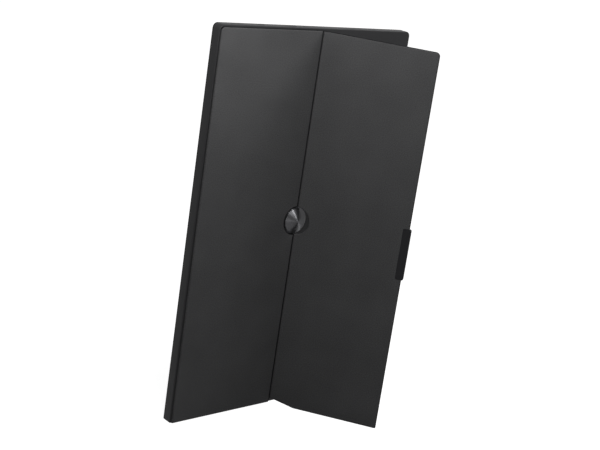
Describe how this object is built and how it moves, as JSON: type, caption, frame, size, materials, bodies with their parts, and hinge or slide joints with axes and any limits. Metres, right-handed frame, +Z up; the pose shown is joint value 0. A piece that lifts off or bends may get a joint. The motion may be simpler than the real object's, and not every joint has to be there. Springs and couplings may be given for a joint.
{
  "type": "portable monitor with cover",
  "caption": "Slim portable monitor standing in portrait, its two-panel cover on the back with the right panel folded out as a leg; a spun-metal lock disc sits on the fold.",
  "frame": {"origin": "middle of the monitor's bottom edge face, half way through the casing's thickness, on the surface it stands on", "axes": "+Z up along the fold, +Y the way the screen faces, -Y the side with the cover, +X to the right as seen from behind"},
  "size_m": [0.2364, 0.1084, 0.3823],
  "materials": {
    "casing_plastic": "fine-textured satin, near black",
    "bezel_plastic": "matt black",
    "cover_skin": "charcoal soft-touch skin with a very fine grain",
    "lining": "brushed microfibre, near black",
    "stiffener": "black pressed fibre board",
    "tab_rubber": "smooth matt rubber",
    "foot_rubber": "matt rubber",
    "disc_metal": "spun on a lathe, fine circular brushing, black anodised",
    "bare_steel": "plain",
    "dark_steel": "blackened",
    "magnet": "nickel plated",
    "module_metal": "mill finish",
    "screen_glass": "anti-glare dark glass, switched off",
    "film": "satin film",
    "acrylic": "clear acrylic",
    "white_plastic": "moulded",
    "flex_amber": "polyimide film",
    "board_green": "solder mask",
    "chip_black": "moulded",
    "small_parts": "mixed small parts",
    "led_yellow": "phosphor",
    "ribbon": "flat ribbon cable",
    "foam": "closed-cell foam",
    "light_pipe": "clear diffusing plastic"
  },
  "bodies": {
    "monitor": {"rear_housing": "casing_plastic", "front_bezel": "bezel_plastic", "case_screws": "dark_steel", "edge_feet": "foot_rubber", "light_pipe": "light_pipe", "lcd_cell": "screen_glass", "optical_films": "film", "light_guide": "acrylic", "reflector_sheet": "film", "led_strip": "flex_amber", "led_chips": "led_yellow", "panel_frame": "white_plastic", "panel_backplate": "module_metal", "cof_films": "flex_amber", "source_board": "board_green", "main_board": "board_green", "scaler_chip": "chip_black", "shield_can": "bare_steel", "board_parts": "small_parts", "status_led": "white_plastic", "board_screws": "bare_steel", "port_shell": "bare_steel", "port_tongue": "chip_black", "slot_plate": "bare_steel", "tact_switch": "chip_black", "panel_cable": "ribbon", "backlight_cable": "ribbon", "foam_pads": "foam", "keeper_plates": "bare_steel", "boss_socket": "bare_steel", "wave_washer": "bare_steel", "panel_skin": "cover_skin", "panel_board": "stiffener", "panel_lining": "lining", "panel_magnets": "magnet", "hub_plate": "dark_steel", "hub_rivets": "bare_steel", "fold_bead": "cover_skin"},
    "flap": {"flap_skin": "cover_skin", "flap_board": "stiffener", "flap_lining": "lining", "flap_magnets": "magnet", "grip_tab": "tab_rubber"},
    "lock": {"lock_disc": "disc_metal", "lock_stem": "bare_steel"},
    "power_key": {"power_button": "casing_plastic"}
  },
  "joints": [
    {"name": "flap_fold", "type": "hinge", "parent": "monitor", "child": "flap", "pos_m": [0, -0.00825, 0.191], "axis": [0, 0, -1], "range_deg": [-56, 119]},
    {"name": "lock_turn", "type": "hinge", "parent": "monitor", "child": "lock", "pos_m": [0, -0.00825, 0.194], "axis": [0, -1, 0], "range_deg": [0, 90]},
    {"name": "power_press", "type": "slide", "parent": "monitor", "child": "power_key", "axis": [0, 0, -1], "range_m": [0, 0.0006], "stiffness_N_per_m": 800, "springref_m": -0.0004}
  ]
}
